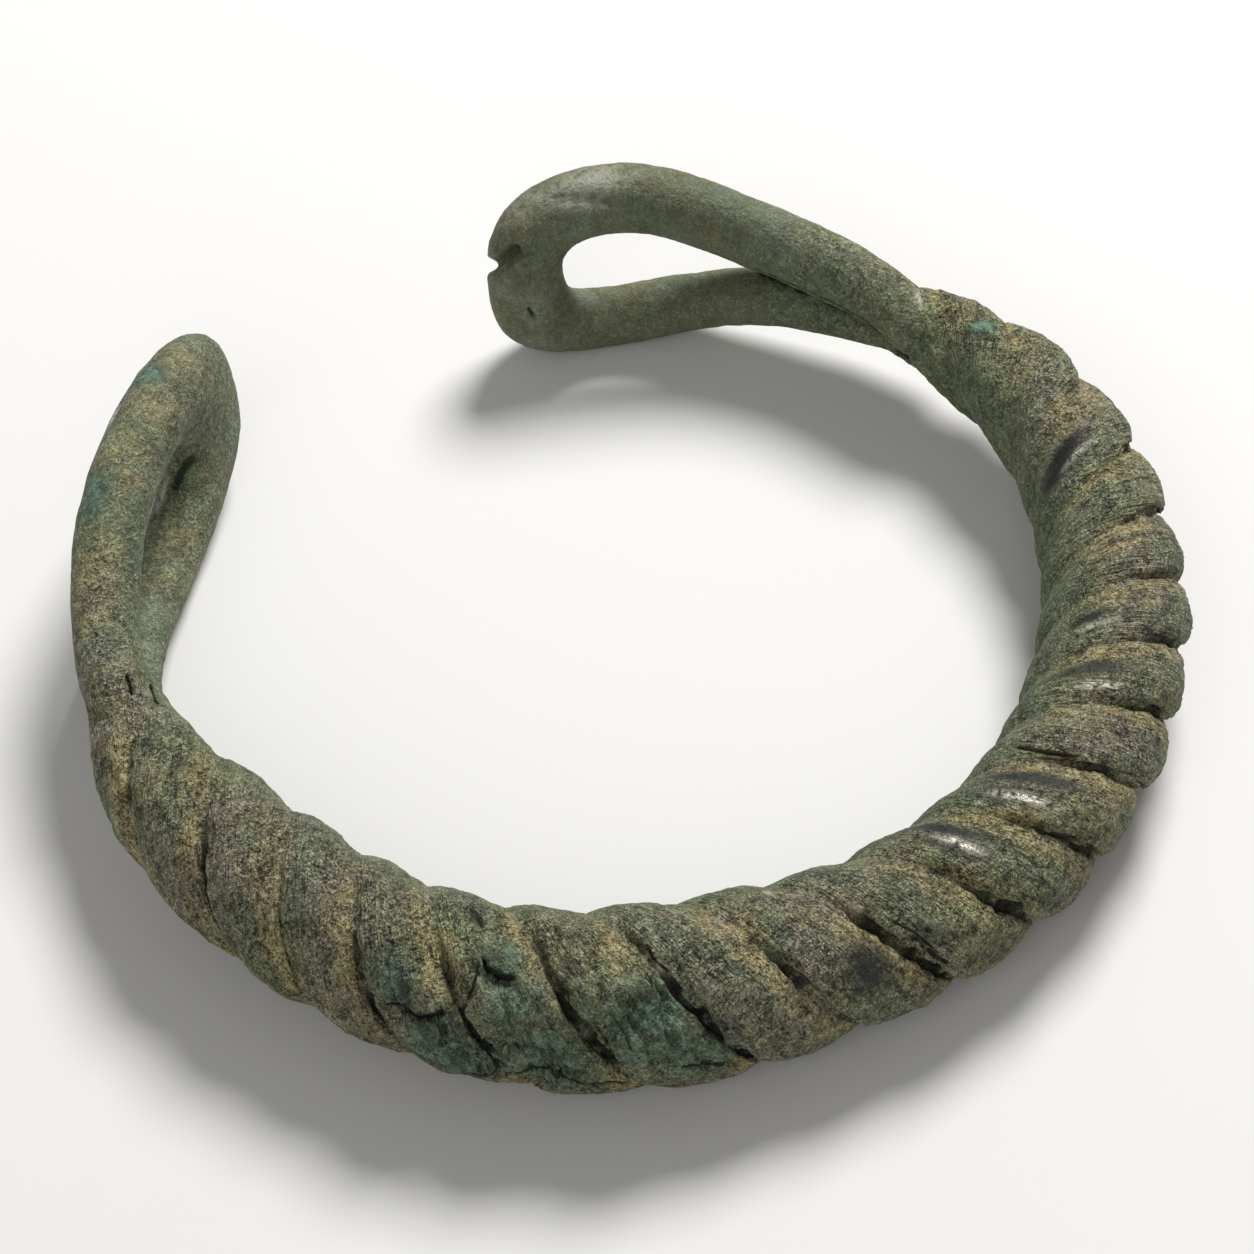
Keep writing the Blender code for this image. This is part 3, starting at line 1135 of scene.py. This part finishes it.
        # Lighter on high spots and darker in the pits: painted shade in the relief.
        relief_shade = 0.5 + 0.35 * pits + 0.3 * grit + 0.15 * broken * steps
        grain = np.where(angles < 0, self.left_grain, self.right_grain)
        grain = (grain + (1 - grain) * bark) * (1 - 0.45 * inner * bark) * (1 - 0.35 * green)
        ridge = 2 * math.pi * phase
        note(data, "twist", np.stack((np.cos(ridge), np.sin(ridge), bark), 1))
        note(data, "stains_and_shade", np.stack((verdigris, worn, hollow_shade), 1))
        note(data, "zones", np.stack((inner, grooved, relief_shade), 1))
        note(data, "spots", np.stack((sheen, earth, grain), 1))
        points = points + normals * (move + carved)[:, None]
        points[:, 2] = np.maximum(points[:, 2], self.wear_depth)
        move_points(data, points)


class Tone(Enum):
    """The colours of the patina, as linear red, green and blue."""

    BROWN = (0.135, 0.122, 0.066)
    MAUVE = (0.140, 0.126, 0.090)
    OLIVE = (0.122, 0.130, 0.058)
    GREEN = (0.095, 0.132, 0.073)
    OCHRE = (0.310, 0.242, 0.105)
    PALE = (0.560, 0.540, 0.370)
    DARK = (0.010, 0.010, 0.006)
    TEAL = (0.054, 0.094, 0.066)
    MINT = (0.160, 0.300, 0.210)
    ASH = (0.170, 0.190, 0.138)
    # Near black on the worn patches: a painted dark reflection.
    METAL = (0.010, 0.010, 0.011)
    # Pale silver of the painted highlights and of the pale flakes.
    HIGHLIGHT_AND_FLAKE = (0.520, 0.490, 0.410)
    # Painted shade in the cracks and hollows, also the dark lines of the hair cracks.
    CRACK_SHADE = (0.004, 0.004, 0.0035)

    def rgba(self) -> tuple[float, float, float, float]:
        """The colour with full alpha."""
        return (*self.value, 1.0)


@dataclass(frozen=True)
class BronzePatina:
    """Corroded bronze: dull brown and olive with salt-and-pepper grain, and ochre in the grooves.

    The patterns' sizes are in waves for each metre, and the rest are shares.
    """

    name: str = "bronze_patina"
    dust: float = 9500.0
    grain: float = 4800.0
    coarse_grain: float = 1900.0
    mottle: float = 700.0
    patches: float = 260.0
    clouds: float = 120.0
    crackle: float = 900.0
    crackle_warp: float = 0.0012
    streaks_per_ridge: float = 14.0
    streak_run: float = 450.0
    flake_scale: float = 2.6
    level: float = 0.72
    contrast: float = 1.9
    darkest: float = 0.14
    skin: float = 0.60
    ash: float = 0.75
    rust: float = 0.55
    earth: float = 0.66
    verdigris: float = 0.85
    pepper: float = 0.50
    salt: float = 0.55
    # How far the worn patches are coloured near black: a painted dark reflection.
    dark_reflection_share: float = 0.95
    # How far the sheen spots are painted pale: painted highlights and pale flakes.
    highlight_and_flake_share: float = 0.75
    # How far the cracks and hollows are darkened: painted shade.
    crack_shade: float = 0.92
    specular: float = 0.3
    bump: float = 0.00040
    bump_strength: float = 0.9

    def make(self) -> bpy.types.Material:
        """Builds the material."""
        return PatinaNodes(self).material


class PatinaNodes(Nodes):
    """Builds the shader of the patina."""

    def __init__(self, finish: BronzePatina) -> None:
        """Wires the whole material.

        Args:
            finish: the sizes of its patterns and the shares of its tones.
        """
        self.finish = finish
        self.material = bpy.data.materials.new(finish.name)
        self.material.use_nodes = True
        super().__init__(self.material.node_tree)
        self.shader = self.tree.nodes["Principled BSDF"].inputs
        self.place = Signal(self.add("ShaderNodeTexCoord").outputs["Object"])
        self.cosine, self.sine, self.twisted = self._attribute("twist")
        # The worn patches carry a painted dark reflection, and the hollows carry painted shade.
        self.verdigris, self.worn, self.hollow_shade = self._attribute("stains_and_shade")
        # The relief share paints shade in the pits and light on the high spots.
        self.inner, self.grooved, self.relief_shade = self._attribute("zones")
        # The sheen spots hold painted highlights and pale flakes.
        self.sheen, self.earthy, self.calm = self._attribute("spots")
        self.dust = self._noise(finish.dust, 1.0)
        self.fine = self._noise(finish.grain, 2.0, 0.6)
        self.coarse = self._noise(finish.coarse_grain, 2.0, 0.6)
        self.mottle = self._noise(finish.mottle, 3.0, 0.6)
        self.patches = self._noise(finish.patches)
        self.clouds = self._noise(finish.clouds)
        turn = calculate("ARCTAN2", self.sine, self.cosine)
        self.within = calculate("FRACT", turn / math.tau + 1.0)
        self.strong = self._rise(self.grooved, 0.15, 0.7)
        self.hair = self._hair()
        self.streaks, self.flakes = self._streaks()
        # The worn patches' near-black colour is a painted dark reflection. Their lower roughness is
        # real wear.
        self.dark_reflection_mask = self.worn * self._rise(self.mottle, 0.20, 0.40)
        # Painted highlights and pale flakes, broken up by the coarse grain.
        self.highlight_and_flake_mask = self.sheen * self._rise(self.coarse, 0.30, 0.55)
        feed(self.shader["Base Color"], self._stained(self._grained(self._earthed(self._base()))))
        self._surface()

    def _attribute(self, name: str) -> tuple[Signal, ...]:
        """The three values that the weathering kept under a name."""
        kept = self.add("ShaderNodeAttribute", attribute_name=name).outputs["Vector"]
        return tuple(Signal(part) for part in self.add("ShaderNodeSeparateXYZ", Signal(kept)).outputs)

    def _noise(
        self, scale: float, detail: float = 2.0, roughness: float = 0.5, place: Signal | None = None
    ) -> Signal:
        """Noise, about 0 to 1, over the object or over another place."""
        node = self.add("ShaderNodeTexNoise")
        feed(node.inputs["Vector"], place or self.place)
        feed(node.inputs["Scale"], scale)
        feed(node.inputs["Detail"], detail)
        feed(node.inputs["Roughness"], roughness)
        return Signal(node.outputs[0])

    def _rise(self, value: Signal, low: float, high: float) -> Signal:
        """Rises smoothly from 0 at low to 1 at high."""
        settings = {"interpolation_type": "SMOOTHSTEP"}
        return self.out("ShaderNodeMapRange", value, low, high, 0.0, 1.0, **settings)

    def _mix(self, share: Signal, low: object, high: object) -> Signal:
        """Goes from one colour to another."""
        node = self.add("ShaderNodeMix", data_type="RGBA")
        for key, value in (("Factor_Float", share), ("A_Color", low), ("B_Color", high)):
            feed(next(socket for socket in node.inputs if socket.identifier == key), value)
        return Signal(next(s for s in node.outputs if s.identifier == "Result_Color"))

    def _hair(self) -> Signal:
        """The network of hair cracks."""
        warp = self.add("ShaderNodeTexNoise", self.place)
        feed(warp.inputs["Scale"], self.finish.mottle)
        bent = self.scaled(Signal(warp.outputs["Color"]), self.finish.crackle_warp)
        cells = self.add("ShaderNodeTexVoronoi", feature="DISTANCE_TO_EDGE")
        feed(cells.inputs["Vector"], self.summed(self.place, bent))
        feed(cells.inputs["Scale"], self.finish.crackle)
        hair = 1.0 - self._rise(Signal(cells.outputs["Distance"]), 0.01, 0.09)
        return hair * self._rise(self.patches, 0.44, 0.60) * self.twisted

    def _streaks(self) -> tuple[Signal, ...]:
        """Long streaks and shorter flakes that run with the strands, about -0.5 to 0.5."""
        lanes = self.out("ShaderNodeCombineXYZ", self.within * self.finish.streaks_per_ridge)
        drawn = self.summed(self.scaled(self.place, self.finish.streak_run), lanes)
        sizes = (1.0, self.finish.flake_scale)
        return tuple((self._noise(size, 2.0, 0.6, drawn) - 0.5) * self.strong for size in sizes)

    def _base(self) -> Signal:
        """The brown and olive ground, greener inside the ring and ashen on the loops."""
        rise, mix, finish = self._rise, self._mix, self.finish
        base = mix(rise(self.clouds, 0.38, 0.62), Tone.MAUVE, Tone.OLIVE)
        base = mix(rise(self.mottle, 0.40, 0.62), base, Tone.BROWN)
        base = mix(rise(self.patches, 0.44, 0.62) * 0.5, base, Tone.GREEN)
        bald = 1.0 - self.twisted
        base = mix(calculate("MAXIMUM", self.inner, bald) * finish.skin, base, Tone.GREEN)
        ash = rise(self.clouds, 0.48, 0.62) * rise(self.patches, 0.38, 0.58)
        base = mix(ash * (bald * finish.ash), base, Tone.ASH)
        rust = rise(self.patches, 0.62, 0.44) * rise(self.mottle, 0.36, 0.60)
        return mix(rust * (bald * finish.rust), base, Tone.BROWN)

    def _earthed(self, base: Signal) -> Signal:
        """Adds the ochre earth in the grooves."""
        rise = self._rise
        valley = rise(self.within, 0.58, 0.86) * (1.0 - rise(self.within, 0.94, 1.0))
        after = 1.0 - rise(self.within, 0.02, 0.14)
        valley = calculate("MAXIMUM", valley, after * 0.35)
        earth = valley * rise(self.patches, 0.32, 0.56) * (self.strong * (1.0 - self.inner))
        earth = earth * calculate("SUBTRACT", 1.0, self.verdigris, clamp=True)
        earth = calculate("MAXIMUM", earth, self.earthy) * rise(self.mottle, 0.24, 0.54)
        return self._mix(earth * self.finish.earth, base, Tone.OCHRE)

    def _grained(self, base: Signal) -> Signal:
        """Adds the verdigris, the light and dark of the crust with painted shade in its pits, its salt
        and its pepper.
        """
        rise, mix, finish = self._rise, self._mix, self.finish
        patch = calculate("MULTIPLY", self.verdigris, rise(self.mottle, 0.26, 0.48), clamp=True)
        base = mix(patch * finish.verdigris, base, Tone.TEAL)
        lit = rise(self.dust, 0.30, 0.70) * 0.40 + rise(self.fine, 0.34, 0.66) * 0.45
        # High spots lighter and pits darker: painted shade.
        lit = lit + rise(self.coarse, 0.32, 0.68) * 0.35 + rise(self.relief_shade, 0.20, 0.85) * 0.45
        lit = lit + self.streaks * 0.9 + self.flakes * 0.7
        swing = (lit - finish.level) * (self.calm * finish.contrast)
        base = self.scaled(base, calculate("MAXIMUM", swing + 1.0, finish.darkest))
        grains = self.fine * 0.45 + self.dust * 0.55
        pepper = 1.0 - rise(grains, 0.38, 0.46)
        base = mix(pepper * (self.calm * finish.pepper), base, Tone.DARK)
        salt = rise(grains, 0.54, 0.60) * rise(self.coarse, 0.42, 0.56) * self.calm
        base = mix(salt * (1.0 - patch * 0.4) * finish.salt, base, Tone.PALE)
        base = mix(patch * rise(self.coarse, 0.50, 0.60) * 0.4, base, Tone.MINT)
        fresh = calculate("SUBTRACT", self.verdigris, 1.0, clamp=True)
        return mix(fresh * rise(self.coarse, 0.25, 0.55), base, Tone.MINT)

    def _stained(self, base: Signal) -> Signal:
        """Adds the worn metal's painted dark reflection, the painted highlights with the pale flakes,
        and the painted shade in the cracks.
        """
        # Painted dark reflection on the worn metal.
        base = self._mix(self.dark_reflection_mask * self.finish.dark_reflection_share, base, Tone.METAL)
        # Painted highlights and pale flakes.
        base = self._mix(self.highlight_and_flake_mask * self.finish.highlight_and_flake_share, base, Tone.HIGHLIGHT_AND_FLAKE)
        # Painted shade in the cracks and hollows, with the hair cracks' dark lines.
        dark = self._rise(self.hollow_shade + (self.fine - 0.5) * 0.5, 0.22, 0.70)
        dark = calculate("MAXIMUM", dark, self.hair * 0.35)
        return self._mix(dark * self.finish.crack_shade, base, Tone.CRACK_SHADE)

    def _surface(self) -> None:
        """Sets how rough and metallic the surface is, and its finest relief."""
        rough = self.fine * 0.36 + 0.50 - self.dark_reflection_mask * 0.15 - self.highlight_and_flake_mask * 0.20
        feed(self.shader["Roughness"], rough)
        feed(self.shader["Metallic"], self.highlight_and_flake_mask * 0.6)
        feed(self.shader["Specular IOR Level"], self.finish.specular)
        height = self.fine * 0.6 + self.coarse * 1.1 + self.dust * 0.25
        height = height + self.streaks * 0.8 + self.flakes * 1.0 - self.hair * 0.20
        smoothed = calculate("MAXIMUM", self.dark_reflection_mask, self.highlight_and_flake_mask) * 0.7
        height = height * (self.calm * 0.85 + 0.10) * (1.0 - smoothed)
        bump = self.add("ShaderNodeBump")
        feed(bump.inputs["Height"], height)
        feed(bump.inputs["Strength"], self.finish.bump_strength)
        feed(bump.inputs["Distance"], self.finish.bump)
        feed(self.shader["Normal"], Signal(bump.outputs[0]))


@dataclass
class Studio:
    """The plain pale floor and the soft light."""

    floor_size: float = 3.0
    floor_tone: tuple = (0.78, 0.77, 0.75, 1.0)
    floor_roughness: float = 0.9
    room_light: float = 0.22
    lights: tuple = (
        ("key", (0.34, 0.22, 0.50), 0.26, 4.8),
        ("fill", (-0.45, -0.35, 0.45), 0.60, 1.2),
    )

    def build(self) -> None:
        """Adds the floor, the lights and the room's own light."""
        data = bpy.data.meshes.new("floor")
        half = self.floor_size / 2
        corners = [(-half, -half, 0), (half, -half, 0), (half, half, 0), (-half, half, 0)]
        data.from_pydata(corners, [], [(0, 1, 2, 3)])
        floor = bpy.data.objects.new("floor", data)
        bpy.context.scene.collection.objects.link(floor)
        material = bpy.data.materials.new("pale_floor")
        material.use_nodes = True
        shader = material.node_tree.nodes["Principled BSDF"]
        shader.inputs["Base Color"].default_value = self.floor_tone
        shader.inputs["Roughness"].default_value = self.floor_roughness
        data.materials.append(material)
        for name, place, size, power in self.lights:
            lamp = bpy.data.lights.new(name, "AREA")
            lamp.shape = "DISK"
            lamp.size = size
            lamp.energy = power
            light = bpy.data.objects.new(name, lamp)
            light.location = place
            light.rotation_euler = (-Vector(place)).to_track_quat("-Z", "Y").to_euler()
            bpy.context.scene.collection.objects.link(light)
        world = bpy.data.worlds.new("room")
        world.use_nodes = True
        background = world.node_tree.nodes["Background"].inputs
        background["Color"].default_value = (1.0, 1.0, 1.0, 1.0)
        background["Strength"].default_value = self.room_light
        bpy.context.scene.world = world
        bpy.context.scene.view_settings.view_transform = "Standard"


@dataclass
class Bangle:
    """The whole bangle: the body and both loops, joined, weathered and put in the CAD's place."""

    camera: PhotoCamera
    ring: Ring = field(default_factory=Ring)

    def build(self) -> bpy.types.Object:
        """Makes the finished piece.

        Returns:
            The bangle, in the row frame.
        """
        material = BronzePatina().make()
        tree = SweepTree()
        body = TwistedBody(self.ring)
        loops = (
            HairpinLoop(
                self.ring, "left_loop", side=-1, neck=self.ring.left_neck, neck_turn=6.0, late=1.0,
                straight=0.0145, hole_end=0.0060, bend=0.0149,
            ),
            HairpinLoop(
                self.ring, "right_loop", side=1, neck=self.ring.right_neck, neck_turn=-41.0, late=2.4,
                straight=0.0214, hole_end=0.0034, bend=0.0088,
            ),
        )
        ends, other = (loop.build(tree, material) for loop in loops)
        self._join(ends, other, "EXACT")
        log.info("loops: %d faces", len(ends.data.polygons))
        bangle = body.build(tree, material)
        log.info("body: %d faces", len(bangle.data.polygons))
        self._join(bangle, ends, "MANIFOLD")
        log.info("joined: %d faces", len(bangle.data.polygons))
        self._soften(bangle)
        weathering = Weathering(body, self.ring, self.camera)
        weathering.apply(bangle)
        bangle.name = "weathered_bangle"
        bangle.data.name = bangle.name
        self.shift = self._settle(bangle, weathering.wear_depth)
        bangle.data.shade_smooth()
        bangle.data.calc_loop_triangles()
        triangles = len(bangle.data.loop_triangles)
        log.info("%s: %d faces, %d triangles", bangle.name, len(bangle.data.polygons), triangles)
        return bangle

    @staticmethod
    def _join(obj: bpy.types.Object, other: bpy.types.Object, solver: str) -> None:
        """Adds another closed shape to an object, and removes it.

        Args:
            obj: the shape that stays.
            other: the shape to add.
            solver: EXACT, which also joins what overlaps in one shape, or the faster MANIFOLD.
        """
        modifier = obj.modifiers.new("join", "BOOLEAN")
        modifier.operation = "UNION"
        modifier.solver = solver
        modifier.use_self = solver == "EXACT"
        modifier.object = other
        plain(obj)
        bpy.data.objects.remove(other)

    def _soften(self, obj: bpy.types.Object, rounds: int = 14, reach: float = 10.0) -> None:
        """Smooths the creases where the strands run together at the two necks.

        Args:
            obj: the joined bangle.
            rounds: how often each point moves towards its neighbours.
            reach: how far from each neck, in degrees.
        """
        points = points_of(obj.data)
        ends = np.empty(len(obj.data.edges) * 2, np.int32)
        obj.data.edges.foreach_get("vertices", ends)
        start, end = np.concatenate((ends.reshape(-1, 2), ends.reshape(-1, 2)[:, ::-1])).T
        neighbours = np.maximum(np.bincount(start, minlength=len(points)), 1)[:, None]
        angles = self.ring.angle_of(points)
        off = np.minimum(np.abs(angles - self.ring.left_neck), np.abs(angles - self.ring.right_neck))
        share = 0.6 * ease(1.5 * (1 - off / reach))[:, None]
        for _ in range(rounds):
            total = np.stack([np.bincount(start, points[end, i], len(points)) for i in range(3)], 1)
            points = points + share * (total / neighbours - points)
        move_points(obj.data, points)

    @staticmethod
    def _settle(obj: bpy.types.Object, wear_depth: float) -> np.ndarray:
        """Moves the mesh into the CAD node's place.

        Args:
            obj: the bangle round the middle of the ring.
            wear_depth: the height of the plane that its underside is worn to.

        Returns:
            The move.
        """
        points = points_of(obj.data)
        shift = (np.sum(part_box(NODE), 0) - points.min(0) - points.max(0)) / 2
        shift[2] = -wear_depth
        obj.data.transform(Matrix.Translation(Vector(shift)))
        return shift


def main() -> None:
    """Builds the bangle and its studio."""
    logging.basicConfig(level=logging.INFO, format="%(name)s: %(message)s")
    noise.seed_set(NOISE_SEED)
    clear_scene()
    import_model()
    camera = PhotoCamera()
    bangle = Bangle(camera)
    piece = bangle.build()
    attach(piece, "root")
    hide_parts(NODE)
    camera.place(bangle.shift)
    Studio().build()


if __name__ == "__main__":
    main()
